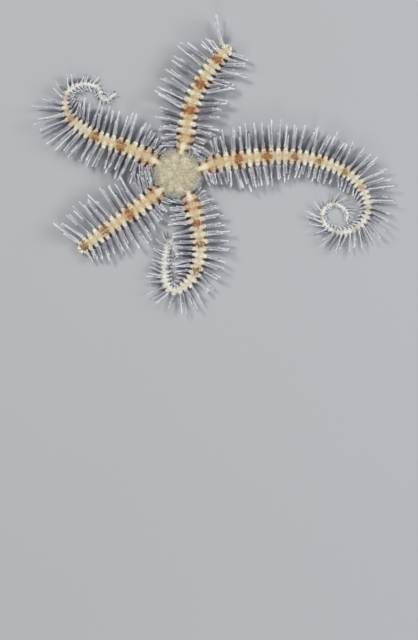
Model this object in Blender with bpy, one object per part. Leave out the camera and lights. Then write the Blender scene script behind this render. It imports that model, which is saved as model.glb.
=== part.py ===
# A brittle star lying on the floor: a low domed disc, a mouth of five jaws under it,
# and five slender arms of many lobes, edged with spines.
#
# Metres, +Z up. The origin is on the floor under the middle of the disc, where the jaws meet.
# Each arm is a chain of lengths. A length is a node of its own, and starts where the last one ends.

import math
import random

import bmesh
import bpy
import numpy as np
from mathutils import Matrix, Vector

MM = 0.001
GAP = 0.3                         # millimetres between touching nodes

# Disc, in millimetres and degrees
DISC_RADIUS = 6.3                 # between the arms
DISC_NOTCH = 1.1                  # how far its edge draws in over an arm
DISC_NOTCH_SPREAD = 17.0          # degrees of bearing
DISC_TOP = 4.2
DISC_EDGE_HEIGHT = 2.1
DISC_UNDERSIDE = 0.7
DISC_FULLNESS = 0.75              # below 1, the dome is flatter on top and fuller at its edge
DISC_CELLS_ROUND = 40
DISC_CELLS_UP = 14
ROOT_INNER_RADIUS = 1.5           # where the root of an arm begins, inside the disc
ROOT_OUTER_RADIUS = 6.9           # where its first length takes over from the root
ROOT_LOBE = 0.9                   # from the end of the root back to its last lobe

# Mouth, in millimetres
MOUTH_RADIUS = 2.3
MOUTH_HEIGHT = 1.0
MOUTH_SIDES = 30
SLIT_WIDTH = 0.35
SLIT_DEPTH = 0.5
SLIT_INNER_RADIUS = 0.5

# Body of an arm, in millimetres
ROOT_HALF_WIDTH = 2.45
TIP_HALF_WIDTH = 0.32
TAPER_POWER = 1.25                # above 1, an arm keeps its width near the root
WAIST = 0.7                       # half width between two lobes, as a share of the lobes'
TIP_SHARE = 0.6                   # half width of the last ring, as a share of the arm's there
HEIGHT_BASE = 0.35                # the height of an arm: this and a share of half the width
HEIGHT_PER_WIDTH = 0.95
PITCH_BASE = 0.4                  # the length of a segment: this and a share of half the width
PITCH_PER_WIDTH = 0.65
PITCH_LEAST = 1.2
INNER_ROOM = 0.8                  # most of a bend's radius that the arm may fill
STUMP_ROUNDING = 1.4              # run over which a stump closes
STUMP_LEAST = 0.35

# Spines, in millimetres and degrees
SPINE_LENGTH = 6.2                # beyond the side of an arm, along its middle
SPINE_SHARE_AT_DISC = 0.42
SPINE_SHARE_AT_TIP = 0.12
SPINE_RAMP = 8.0                  # run from the disc to the full length
SPINE_SHORTENING = 1.3            # above 1, they shorten quickly at first
SPINE_INNER_LEAST = 0.17          # share of the length left inside the tightest bends
SPINE_INNER_RADIUS = 4.0          # bend radius up to which they are that short
SPINE_INNER_RANGE = 18.0          # and the further radius at which they are full again
SPINE_CLEARANCE = 0.2             # kept from the line between two neighbours
SPINE_SHORTEST = 0.7              # with less room than this there is none
SPINE_SIDES = 4
SPINE_ROOT_RADIUS = 0.36          # on the stout part of an arm
SPINE_TIP_RADIUS = 0.2
THIN_ROOT_RADIUS = 0.27           # on its thin end
THIN_TIP_RADIUS = 0.17
THIN_BELOW = 1.0                  # half width of an arm at which its thin end begins
SPINE_RISES = (7.0, 25.0)         # above the floor, in the lower and the upper row
THIN_RISES = (12.0,)              # the thin end has one row
SPINE_ROOT_SHARE = 0.3            # how far out in the arm a root lies, of half its width
SPINE_ROOT_HEIGHTS = (0.4, 0.5)   # of the arm's height, in the lower and the upper row
ROW_STAGGER = 0.2                 # between the rows, of a segment's length
SPINE_LEAN = 3.0                  # towards the tip of the arm, where they are full
TIP_LEAN = 28.0                   # and where they are shortest
SPINE_LEAN_SCATTER = 9.0
SPINE_RISE_SCATTER = 5.0
SPINE_LENGTH_SCATTER = 0.12       # of the length
STUMP_LEAN = 35.0                 # of the last spines on a stump
STUMP_LEAN_BACK = 1.1             # from the end of a stump back to their roots
FLOOR_CLEARANCE = 0.05
SEED = 11

# Each arm: where it leaves the disc, as a radius in millimetres and a bearing in degrees,
# its heading there, and its lengths as arcs. An arc is a run in millimetres and a turn in
# degrees, left positive. whole is how long the arm is with its tip, and spines_full_to is
# the share of that after which its spines shorten.
ARMS = {
    "arm_upper": {
        "start": (6.15, 78.5),
        "heading": 73.5,
        "lengths": [
            [(5.8, 9.5), (4.0, -7.5)],
            [(10.0, -19.5)],
            [(9.0, -12.5)],
        ],
        "spines_full_to": 0.7,
        "whole": 78.0,
        "stump": True,
    },
    "arm_right": {
        "start": (6.6, 13.0),
        "heading": 22.0,
        "lengths": [
            [(4.8, -12.0), (9.2, -4.0)],
            [(2.0, -0.5), (8.7, -14.0)],
            [(11.0, -18.0)],
            [(9.9, -48.5)],
            [(5.6, -52.0)],
            [(6.9, -60.0)],
            [(5.0, -61.0)],
            [(3.2, -60.5)],
            [(3.0, -60.5)],
            [(3.7, -60.5), (2.2, -61.0)],
        ],
        "spines_full_to": 0.72,
        "whole": 75.2,
        "stump": False,
    },
    "arm_upper_left": {
        "start": (5.6, 150.5),
        "heading": 150.5,
        "lengths": [
            [(13.0, 12.5)],
            [(10.3, -25.0)],
            [(6.5, -54.0)],
            [(2.9, -47.5)],
            [(6.3, -61.0)],
            [(2.6, -65.5)],
            [(1.5, 63.0), (1.3, 65.0), (2.6, -6.5)],
        ],
        "spines_full_to": 0.5,
        "whole": 47.0,
        "stump": False,
    },
    "arm_lower_left": {
        "start": (5.2, -134.0),
        "heading": -140.0,
        "lengths": [
            [(8.2, -5.5), (4.0, 0.7)],
            [(13.5, 2.3)],
        ],
        "spines_full_to": 0.7,
        "whole": 75.0,
        "stump": True,
    },
    "arm_lower": {
        "start": (5.7, -61.5),
        "heading": -70.0,
        "lengths": [
            [(10.4, -10.0)],
            [(9.0, -29.5)],
            [(6.8, -41.5)],
            [(1.9, -56.5), (1.6, -35.0)],
            [(2.9, -29.0), (7.6, -7.5)],
            [(0.95, -74.0), (0.95, -74.0), (3.9, -10.5)],
        ],
        "spines_full_to": 0.42,
        "whole": 46.0,
        "stump": False,
    },
}

ROUTE_STEP = 0.1                  # between the samples of a route
MARCH_STEP = 0.2                  # between the tests along a spine
BEND_WINDOW = 3.0                 # each way, over which a bend is read for the spines
BODY_BEND_WINDOW = 0.3            # and for the body
NEIGHBOUR_RUN = 5.0               # stretches of an arm further apart than this are neighbours
DOUBLED_BACK = 0.75               # and nearer ones, where the straight way is this much shorter


def clear_scene():
    for item in list(bpy.data.objects):
        bpy.data.objects.remove(item)


def make_material(name, colour, roughness):
    material = bpy.data.materials.new(name)
    material.use_nodes = True
    shader = material.node_tree.nodes["Principled BSDF"]
    shader.inputs["Base Color"].default_value = (*colour, 1.0)
    shader.inputs["Roughness"].default_value = roughness
    shader.inputs["Metallic"].default_value = 0.0
    return material


def mesh_from(name, form):
    """The bmesh, made in millimetres, as a mesh in metres."""
    bmesh.ops.scale(form, vec=(MM, MM, MM), verts=form.verts)
    bmesh.ops.recalc_face_normals(form, faces=form.faces)
    mesh = bpy.data.meshes.new(name)
    form.to_mesh(mesh)
    form.free()
    return mesh


def add_object(name, form, collection, material=None):
    item = bpy.data.objects.new(name, mesh_from(name, form))
    if material:
        item.data.materials.append(material)
    collection.objects.link(item)
    return item


def combine(target, operation, collection):
    """Join the pieces of a collection to the target, or cut them from it."""
    change = target.modifiers.new("combine", "BOOLEAN")
    change.operation = operation
    change.operand_type = "COLLECTION"
    change.collection = collection
    change.solver = "EXACT"
    material = target.data.materials[0]
    seen = target.evaluated_get(bpy.context.evaluated_depsgraph_get())
    mesh = bpy.data.meshes.new_from_object(seen)
    target.modifiers.remove(change)
    target.data = mesh
    mesh.materials.clear()
    mesh.materials.append(material)
    for item in list(collection.objects):
        bpy.data.objects.remove(item)
    keep_largest(mesh)


def keep_largest(mesh):
    """Drop all but the largest closed surface of a mesh."""
    form = bmesh.new()
    form.from_mesh(mesh)
    left = set(form.verts)
    shells = []
    while left:
        shell = set()
        edge = [left.pop()]
        while edge:
            corner = edge.pop()
            shell.add(corner)
            for line in corner.link_edges:
                other = line.other_vert(corner)
                if other in left:
                    left.remove(other)
                    edge.append(other)
        shells.append(shell)
    shells.sort(key=len, reverse=True)
    for shell in shells[1:]:
        bmesh.ops.delete(form, geom=list(shell), context="VERTS")
    form.to_mesh(mesh)
    form.free()


def direction(heading):
    return np.array([math.cos(heading), math.sin(heading)])


def trace_route(arm):
    """The points and headings along an arm, the ends of its lengths and its bends."""
    radius, bearing = arm["start"]
    place = direction(math.radians(bearing)) * radius
    heading = math.radians(arm["heading"])
    runs = [0.0]
    points = [place.copy()]
    headings = [heading]
    cuts = [ROOT_OUTER_RADIUS - radius]
    for arcs in arm["lengths"]:
        for run, turn in arcs:
            steps = round(run / ROUTE_STEP)
            half_turn = math.radians(turn) / steps / 2
            for _ in range(steps):
                heading += half_turn
                place += direction(heading) * run / steps
                heading += half_turn
                runs.append(runs[-1] + run / steps)
                points.append(place.copy())
                headings.append(heading)
        cuts.append(runs[-1])
    route = {
        "runs": np.array(runs),
        "points": np.array(points),
        "headings": np.array(headings),
        "cuts": cuts,
        "whole": arm["whole"],
        "spines_full_to": arm["spines_full_to"],
        "stump": arm["stump"],
    }
    route["bends"] = [bend_at(route, run, BEND_WINDOW) for run in runs]
    return route


def bend_at(route, run, window):
    """How much the heading turns for each millimetre, left positive."""
    before = max(0.0, run - window)
    after = min(route["runs"][-1], run + window)
    turned = np.interp([before, after], route["runs"], route["headings"])
    return (turned[1] - turned[0]) / (after - before)


def place_at(route, run):
    x = np.interp(run, route["runs"], route["points"][:, 0])
    y = np.interp(run, route["runs"], route["points"][:, 1])
    heading = np.interp(run, route["runs"], route["headings"])
    return np.array([x, y]), heading


def half_width(route, run):
    taper = 1.0 - min(1.0, run / route["whole"]) ** TAPER_POWER
    width = TIP_HALF_WIDTH + (ROOT_HALF_WIDTH - TIP_HALF_WIDTH) * taper
    left = (route["runs"][-1] - run) / STUMP_ROUNDING
    if route["stump"] and left < 1.0:
        width *= max(STUMP_LEAST, math.sqrt(1.0 - (1.0 - left) ** 2))
    return width


def late_share(route, run):
    """0 where an arm's spines are full, and from there up to 1 at its tip."""
    full_to = route["spines_full_to"]
    return min(1.0, max(0.0, (run / route["whole"] - full_to) / (1.0 - full_to)))


def spine_length(route, run, side):
    """How far a spine stands out from the arm's side, with nothing in its way."""
    ramp = min(1.0, run / SPINE_RAMP)
    share = SPINE_SHARE_AT_DISC + (1.0 - SPINE_SHARE_AT_DISC) * ramp
    left = (1.0 - late_share(route, run)) ** SPINE_SHORTENING
    share *= SPINE_SHARE_AT_TIP + (1.0 - SPINE_SHARE_AT_TIP) * left
    bend = np.interp(run, route["runs"], route["bends"])
    if bend * side > 0.0:
        inside = (1.0 / abs(bend) - SPINE_INNER_RADIUS) / SPINE_INNER_RANGE
        share *= min(1.0, max(SPINE_INNER_LEAST, inside))
    return SPINE_LENGTH * share


def survey(routes):
    """A table of every arm's stretches, to keep spines clear of them."""
    rows = []
    for number, route in enumerate(routes):
        for run in np.arange(0.0, route["runs"][-1], 3 * ROUTE_STEP):
            place, heading = place_at(route, run)
            width = half_width(route, run)
            left = width + spine_length(route, run, 1)
            right = width + spine_length(route, run, -1)
            rows.append((number, run, *place, heading, width, left, right))
    return np.array(rows)


def disc_radius(bearing, routes):
    """Radius of the disc's edge at a bearing in radians."""
    radius = DISC_RADIUS
    for route in routes:
        root = route["points"][0]
        off = bearing - math.atan2(root[1], root[0])
        off = math.degrees(math.remainder(off, math.tau))
        radius -= DISC_NOTCH * math.exp(-((off / DISC_NOTCH_SPREAD) ** 2))
    return radius


def free_length(routes, table, number, run, side, way, wanted, ends, thickness):
    """How far a spine may stand out from an arm's side before it nears something else."""
    route = routes[number]
    place, heading = place_at(route, run)
    width = half_width(route, run)
    own_reach = width + spine_length(route, run, side)
    apart = np.abs(table[:, 1] - run)
    chord = np.hypot(*(table[:, 2:4] - place).T)
    same = table[:, 0] == number
    doubled = chord < DOUBLED_BACK * apart
    other = ~same | (apart > NEIGHBOUR_RUN) | doubled
    others = table[other]
    own = table[~other]
    clear = SPINE_CLEARANCE + thickness / 2
    length = 0.0
    while length < wanted:
        last = length
        length = min(wanted, length + MARCH_STEP)
        point = place + way * (width + length)
        edge = disc_radius(math.atan2(point[1], point[0]), routes)
        if math.hypot(*point) < edge + GAP + thickness / 2:
            return last
        for end, sign in ends:
            spot, turned = place_at(route, end)
            if (point - spot) @ direction(turned) * sign < GAP / 2 + thickness / 2:
                return last
        offset = point - others[:, 2:4]
        far = np.hypot(offset[:, 0], offset[:, 1])
        if (far < others[:, 5] + clear + GAP / 2).any():
            return last
        across = np.cos(others[:, 4]) * offset[:, 1] - np.sin(others[:, 4]) * offset[:, 0]
        reach = np.where(across > 0.0, others[:, 6], others[:, 7])
        near = np.hypot(*(point - own[:, 2:4]).T).min()
        if ((near + clear) / own_reach > (far - clear) / reach).any():
            return last
    return wanted


def section(width, height):
    """Corners across an arm, flat below and rounded above."""
    return [
        (-0.6 * width, 0.0),
        (-width, 0.36 * height),
        (-0.66 * width, 0.84 * height),
        (0.0, height),
        (0.66 * width, 0.84 * height),
        (width, 0.36 * height),
        (0.6 * width, 0.0),
    ]


def arm_height(width):
    return HEIGHT_BASE + HEIGHT_PER_WIDTH * width


def loft(rings):
    """A closed skin over a row of rings with equal counts of corners."""
    form = bmesh.new()
    rows = [[form.verts.new(corner) for corner in ring] for ring in rings]
    for first, second in zip(rows, rows[1:]):
        for index, corner in enumerate(first):
            after = (index + 1) % len(first)
            form.faces.new((corner, first[after], second[after], second[index]))
    form.faces.new(list(reversed(rows[0])))
    form.faces.new(rows[-1])
    return form


def ring_at(route, run, share):
    """One ring of an arm's body, kept narrow on the inner side of a bend."""
    place, heading = place_at(route, run)
    width = half_width(route, run)
    bend = bend_at(route, run, BODY_BEND_WINDOW)
    normal = direction(heading + math.pi / 2)
    ring = []
    for across, up in section(width * share, arm_height(width) * (0.5 + 0.5 * share)):
        if bend * across > 0.0:
            across = math.copysign(min(abs(across), INNER_ROOM / abs(bend)), across)
        ring.append((*(place + normal * across), up))
    return ring


def segment_ends(route, first, last):
    """The ends of the segments of one length, which they fill evenly."""
    pitch = PITCH_BASE + PITCH_PER_WIDTH * half_width(route, (first + last) / 2)
    count = round((last - first) / max(PITCH_LEAST, pitch))
    return np.linspace(first, last, max(1, count) + 1)


def length_body(route, first, last):
    """One length of an arm, in lobes, from one waist to another."""
    is_tip = last == route["cuts"][-1]
    near = first + GAP / 2
    far = last if is_tip else last - GAP / 2
    marks = segment_ends(route, first, last)
    rings = [(near, WAIST)]
    for start, end in zip(marks, marks[1:]):
        rings.append(((start + end) / 2, 1.0))
        rings.append((end, WAIST))
    rings[-1] = (far, TIP_SHARE if is_tip else WAIST)
    return loft([ring_at(route, run, share) for run, share in rings])


def spine(root, tip, root_radius, tip_radius):
    form = bmesh.new()
    way = Vector(tip) - Vector(root)
    place = Matrix.Translation((Vector(root) + Vector(tip)) / 2)
    turn = way.to_track_quat("Z", "Y").to_matrix().to_4x4()
    bmesh.ops.create_cone(form, cap_ends=True, segments=SPINE_SIDES, radius1=root_radius,
                          radius2=tip_radius, depth=way.length, matrix=place @ turn)
    return form


def grow_spine(routes, table, number, run, side, lean, row, rises, ends, draw):
    """A spine on one side of an arm at a run, or nothing where it has no room."""
    route = routes[number]
    place, heading = place_at(route, run)
    width = half_width(route, run)
    height = arm_height(width)
    thin = width < THIN_BELOW
    root_radius = THIN_ROOT_RADIUS if thin else SPINE_ROOT_RADIUS
    tip_radius = THIN_TIP_RADIUS if thin else SPINE_TIP_RADIUS
    rise = math.radians(rises[row] + draw.uniform(-1.0, 1.0) * SPINE_RISE_SCATTER)
    scatter = 1.0 + draw.uniform(-1.0, 1.0) * SPINE_LENGTH_SCATTER
    wanted = spine_length(route, run, side) * scatter * math.cos(rise)
    slant = draw.uniform(-1.0, 1.0) * SPINE_LEAN_SCATTER
    best = (0.0, None)
    for share in (1.0, 0.5, 0.0, -0.5, -1.0):
        off = 90.0 - lean - slant * share
        way = direction(heading + side * math.radians(off))
        free = free_length(routes, table, number, run, side, way, wanted, ends,
                           root_radius + tip_radius)
        if free > best[0] + MARCH_STEP / 2:
            best = (free, way)
    free, way = best
    if free < SPINE_SHORTEST:
        return None
    low = root_radius + FLOOR_CLEARANCE
    start = width * SPINE_ROOT_SHARE
    root = (*(place + way * start), max(low, height * SPINE_ROOT_HEIGHTS[row]))
    out = width + free
    tip = (*(place + way * out), root[2] + (out - start) * math.tan(rise))
    return spine(root, tip, root_radius, tip_radius)


def length_spines(routes, table, number, first, last, draw):
    """The spines of one length of an arm, in a lower and an upper row on each side."""
    route = routes[number]
    is_tip = last == route["cuts"][-1]
    ends = [(first, 1.0)] if is_tip else [(first, 1.0), (last, -1.0)]
    spines = []
    marks = segment_ends(route, first, last)
    for start, end in zip(marks, marks[1:]):
        middle = (start + end) / 2
        rises = THIN_RISES if half_width(route, middle) < THIN_BELOW else SPINE_RISES
        lean = SPINE_LEAN + (TIP_LEAN - SPINE_LEAN) * late_share(route, middle)
        for side in (1, -1):
            for row in range(len(rises)):
                shift = (row - (len(rises) - 1) / 2) * (end - start) * ROW_STAGGER
                spines.append(grow_spine(routes, table, number, middle + shift, side,
                                         lean, row, rises, ends, draw))
    if is_tip and route["stump"]:
        for side in (1, -1):
            spines.append(grow_spine(routes, table, number, last - STUMP_LEAN_BACK, side,
                                     STUMP_LEAN, 0, SPINE_RISES, ends, draw))
    return [form for form in spines if form]


def arm_root(route):
    """The root of an arm, from inside the disc to where its first length begins."""
    start, heading = place_at(route, route["cuts"][0])
    inner = ROOT_OUTER_RADIUS - ROOT_INNER_RADIUS
    rings = []
    for back, share in ((inner, 1.0), (ROOT_LOBE + GAP / 2, 1.0), (GAP / 2, WAIST)):
        place = start - direction(heading) * back
        width = half_width(route, 0.0)
        height = arm_height(width) * (0.5 + 0.5 * share)
        normal = direction(heading + math.pi / 2)
        rings.append([(*(place + normal * across), up)
                      for across, up in section(width * share, height)])
    return loft(rings)


def disc_dome(routes):
    """A low dome that draws in over each arm, with a nearly flat underside."""
    form = bmesh.new()
    bmesh.ops.create_uvsphere(form, u_segments=DISC_CELLS_ROUND, v_segments=DISC_CELLS_UP,
                              radius=1.0)
    for corner in form.verts:
        x, y, z = corner.co
        out = math.hypot(x, y) ** DISC_FULLNESS
        bearing = math.atan2(y, x)
        radius = disc_radius(bearing, routes) * out
        if z > 0.0:
            up = DISC_EDGE_HEIGHT + (DISC_TOP - DISC_EDGE_HEIGHT) * z
        else:
            up = DISC_EDGE_HEIGHT - (DISC_EDGE_HEIGHT - DISC_UNDERSIDE) * math.sqrt(-z)
        corner.co = (radius * math.cos(bearing), radius * math.sin(bearing), up)
    return form


def make_disc(routes, star, pieces, material):
    disc = add_object("disc", disc_dome(routes), star, material)
    for route in routes:
        add_object("arm_root", arm_root(route), pieces)
    combine(disc, "UNION", pieces)
    recess = bmesh.new()
    radius = MOUTH_RADIUS + GAP
    depth = MOUTH_HEIGHT + GAP
    bmesh.ops.create_cone(recess, cap_ends=True, segments=MOUTH_SIDES, radius1=radius,
                          radius2=radius, depth=2 * depth)
    add_object("mouth_recess", recess, pieces)
    combine(disc, "DIFFERENCE", pieces)


def make_mouth(routes, star, pieces, material):
    """Five jaws: a round plate with a slit under each arm, which stop short of its middle."""
    form = bmesh.new()
    middle = Matrix.Translation((0.0, 0.0, MOUTH_HEIGHT / 2))
    bmesh.ops.create_cone(form, cap_ends=True, segments=MOUTH_SIDES, radius1=MOUTH_RADIUS,
                          radius2=MOUTH_RADIUS, depth=MOUTH_HEIGHT, matrix=middle)
    mouth = add_object("mouth", form, star, material)
    for route in routes:
        slit = bmesh.new()
        out = Matrix.Translation((SLIT_INNER_RADIUS + MOUTH_RADIUS / 2, 0.0, 0.0))
        size = Matrix.Diagonal((MOUTH_RADIUS, SLIT_WIDTH, 2 * SLIT_DEPTH, 1.0))
        root = route["points"][0]
        turn = Matrix.Rotation(math.atan2(root[1], root[0]), 4, "Z")
        bmesh.ops.create_cube(slit, size=1.0, matrix=turn @ out @ size)
        add_object("mouth_slit", slit, pieces)
    combine(mouth, "DIFFERENCE", pieces)


def make_arm(routes, table, number, name, star, pieces, material, draw):
    cuts = routes[number]["cuts"]
    for index, (first, last) in enumerate(zip(cuts, cuts[1:])):
        body = length_body(routes[number], first, last)
        node = add_object(f"{name}_{index + 1}", body, star, material)
        for form in length_spines(routes, table, number, first, last, draw):
            add_object("spine", form, pieces)
        combine(node, "UNION", pieces)


def main():
    clear_scene()
    star = bpy.data.collections.new("brittle_star")
    pieces = bpy.data.collections.new("pieces")
    bpy.context.scene.collection.children.link(star)
    bpy.context.scene.collection.children.link(pieces)
    disc_skin = make_material("disc_skin", (0.62, 0.52, 0.36), 0.6)
    jaw_plates = make_material("jaw_plates", (0.80, 0.76, 0.66), 0.5)
    arm_skin = make_material("arm_skin", (0.78, 0.74, 0.62), 0.55)
    routes = [trace_route(arm) for arm in ARMS.values()]
    table = survey(routes)
    draw = random.Random(SEED)
    make_disc(routes, star, pieces, disc_skin)
    make_mouth(routes, star, pieces, jaw_plates)
    for number, name in enumerate(ARMS):
        make_arm(routes, table, number, name, star, pieces, arm_skin, draw)


main()
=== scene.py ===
import math
import random

import bmesh
import bpy
import numpy as np
from mathutils import Matrix, Vector


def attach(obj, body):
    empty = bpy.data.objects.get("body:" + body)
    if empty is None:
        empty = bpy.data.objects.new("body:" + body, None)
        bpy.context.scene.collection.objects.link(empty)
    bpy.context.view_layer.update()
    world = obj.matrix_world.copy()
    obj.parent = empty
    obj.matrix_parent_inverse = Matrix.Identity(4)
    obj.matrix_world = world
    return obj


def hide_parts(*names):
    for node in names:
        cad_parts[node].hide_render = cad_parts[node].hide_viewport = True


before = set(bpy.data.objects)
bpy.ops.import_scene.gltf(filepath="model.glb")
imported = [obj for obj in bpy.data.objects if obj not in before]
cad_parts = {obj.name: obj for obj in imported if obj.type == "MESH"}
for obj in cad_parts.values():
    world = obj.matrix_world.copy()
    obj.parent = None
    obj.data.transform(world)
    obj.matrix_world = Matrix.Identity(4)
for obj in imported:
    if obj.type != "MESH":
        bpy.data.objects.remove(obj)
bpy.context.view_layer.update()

mm = 0.001  # sizes below are in millimetres and degrees, and become metres here
quarter = math.pi / 2


# Camera, lights and floor

view = {
    "x": 7.9,  # straight above this point of the floor, so the star lies high in the frame
    "y": -36.5,
    "height": 600.0,
    "lens": 135.0,
    "sensor": 36.0,
}

lights = {
    "key": {"place": (-260.0, 210.0, 420.0), "size": 150.0, "power": 1.52, "colour": (1.0, 0.98, 0.95)},
    "side": {"place": (330.0, 60.0, 260.0), "size": 220.0, "power": 0.82, "colour": (0.94, 0.97, 1.0)},
    "front": {"place": (20.0, -380.0, 300.0), "size": 260.0, "power": 0.72, "colour": (1.0, 1.0, 1.0)},
    "aim": (5.0, 0.0, 0.0),
    "room": (0.80, 0.83, 0.88),
    "roomStrength": 0.26,
}

floor = {"size": 4000.0, "drop": 0.02, "colour": (0.43, 0.44, 0.455), "roughness": 0.85}


class Flow:  # a value in a material, so that shader sums read as sums
    def __init__(self, finish, socket):
        self.finish = finish
        self.socket = socket

    def sum(self, operation, *values):
        return self.finish.add("ShaderNodeMath", {"operation": operation}, dict(enumerate(values)))

    def __add__(self, other):
        return self.sum("ADD", self, other)

    def __radd__(self, other):
        return self.sum("ADD", other, self)

    def __sub__(self, other):
        return self.sum("SUBTRACT", self, other)

    def __rsub__(self, other):
        return self.sum("SUBTRACT", other, self)

    def __mul__(self, other):
        return self.sum("MULTIPLY", self, other)

    def __rmul__(self, other):
        return self.sum("MULTIPLY", other, self)

    def __abs__(self):
        return self.sum("ABSOLUTE", self)


class Finish:  # the nodes of one material
    def __init__(self, name):
        self.material = bpy.data.materials.new(name)
        self.material.use_nodes = True
        self.tree = self.material.node_tree
        self.tree.nodes.clear()
        self.colour = None  # all that has been painted so far

    def add(self, kind, settings=None, sockets=None, out=0):
        node = self.tree.nodes.new(kind)
        for name, value in (settings or {}).items():
            setattr(node, name, value)
        for name, value in (sockets or {}).items():
            if isinstance(value, Flow):
                self.tree.links.new(value.socket, node.inputs[name])
            elif isinstance(value, tuple) and len(value) == 3 and node.inputs[name].type == "RGBA":
                node.inputs[name].default_value = (*value, 1.0)
            else:
                node.inputs[name].default_value = value
        return Flow(self, node.outputs[out]) if node.outputs else None

    def marks(self, *names):  # numbers kept at each corner of the mesh
        return [self.add("ShaderNodeAttribute", {"attribute_name": name}, out=2) for name in names]

    def place(self):
        return self.add("ShaderNodeTexCoord", out=3)

    def noise(self, where, scale, detail=2.0, roughness=0.5):
        return self.add("ShaderNodeTexNoise", sockets={
            "Vector": where, "Scale": scale, "Detail": detail, "Roughness": roughness})

    def cells(self, where, scale):
        return self.add("ShaderNodeTexVoronoi", sockets={"Vector": where, "Scale": scale})

    def step(self, value, low, high):  # 0 below low and 1 above high, with a soft rise
        return self.add("ShaderNodeMapRange", {"interpolation_type": "SMOOTHSTEP"}, {
            "Value": value, "From Min": low, "From Max": high})

    def fall(self, value, low, high):  # 1 below low and 0 above high
        return 1.0 - self.step(value, low, high)

    def line(self, value, middle, half):  # 1 along one value, gone half a width away
        return self.fall(abs(value - middle), 0.2 * half, half)

    def mix(self, under, over, share):
        return self.add("ShaderNodeMix", {"data_type": "RGBA"}, {0: share, 6: under, 7: over}, 2)

    def prime(self, under, over, share):  # the first coat
        self.colour = self.mix(under, over, share)

    def paint(self, over, share):  # the next coat
        self.colour = self.mix(self.colour, over, share)

    def bump(self, height, distance, strength):
        return self.add("ShaderNodeBump", sockets={
            "Height": height, "Distance": distance, "Strength": strength})

    def close(self, sockets):
        shader = self.add("ShaderNodeBsdfPrincipled", sockets={"Base Color": self.colour, **sockets})
        self.add("ShaderNodeOutputMaterial", sockets={"Surface": shader})
        return self.material


def deselect():
    bpy.ops.object.select_all(action="DESELECT")


def setCamera():
    data = bpy.data.cameras.new("camera")
    data.lens = view["lens"]
    data.sensor_width = view["sensor"]
    data.clip_start = 0.01
    data.clip_end = 10.0
    camera = bpy.data.objects.new("camera", data)
    camera.location = (view["x"] * mm, view["y"] * mm, view["height"] * mm)
    bpy.context.scene.collection.objects.link(camera)
    bpy.context.scene.camera = camera


def setLights():
    aim = Vector(lights["aim"]) * mm
    for name in ("key", "side", "front"):
        plan = lights[name]
        data = bpy.data.lights.new(name, "AREA")
        data.shape = "DISK"
        data.size = plan["size"] * mm
        data.energy = plan["power"]
        data.color = plan["colour"]
        lamp = bpy.data.objects.new(name, data)
        lamp.location = Vector(plan["place"]) * mm
        lamp.rotation_mode = "QUATERNION"
        lamp.rotation_quaternion = (aim - lamp.location).to_track_quat("-Z", "Y")
        bpy.context.scene.collection.objects.link(lamp)
    world = bpy.data.worlds.new("room")
    world.use_nodes = True
    sky = world.node_tree.nodes["Background"]
    sky.inputs["Color"].default_value = (*lights["room"], 1.0)
    sky.inputs["Strength"].default_value = lights["roomStrength"]
    bpy.context.scene.world = world
    bpy.context.scene.view_settings.view_transform = "Standard"


def makeFloor():
    finish = Finish("floorPaint")
    cloud = finish.noise(finish.place(), 9.0, 3.0)
    finish.prime(floor["colour"], tuple(1.05 * c for c in floor["colour"]), cloud)
    material = finish.close({"Roughness": floor["roughness"]})
    deselect()
    bpy.ops.mesh.primitive_plane_add(size=floor["size"] * mm, location=(0.0, 0.0, -floor["drop"] * mm))
    ground = bpy.context.object
    bpy.ops.object.transform_apply(location=True, rotation=True, scale=True)
    ground.name = "floor"
    ground.data.materials.append(material)


setCamera()
setLights()
makeFloor()
print("camera, lights and floor are set")


# Routes: where each arm leaves the disc (radius, bearing), its heading there, and its arcs (run,
# turn, left positive). Whole: the run at which its taper would end. Stump: it lost its tip.
# Lined: how clear the double line along it is. Golden: how yellow its plates are. Slim: share of
# its width at a run, where it lies on its side. Bands: run, strength and how brown. Left and
# right: how far the spines reach from its middle line at a run, their lean to the tip, and how
# much that varies. Lengths: the number of solids that its skin stands for.

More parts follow.
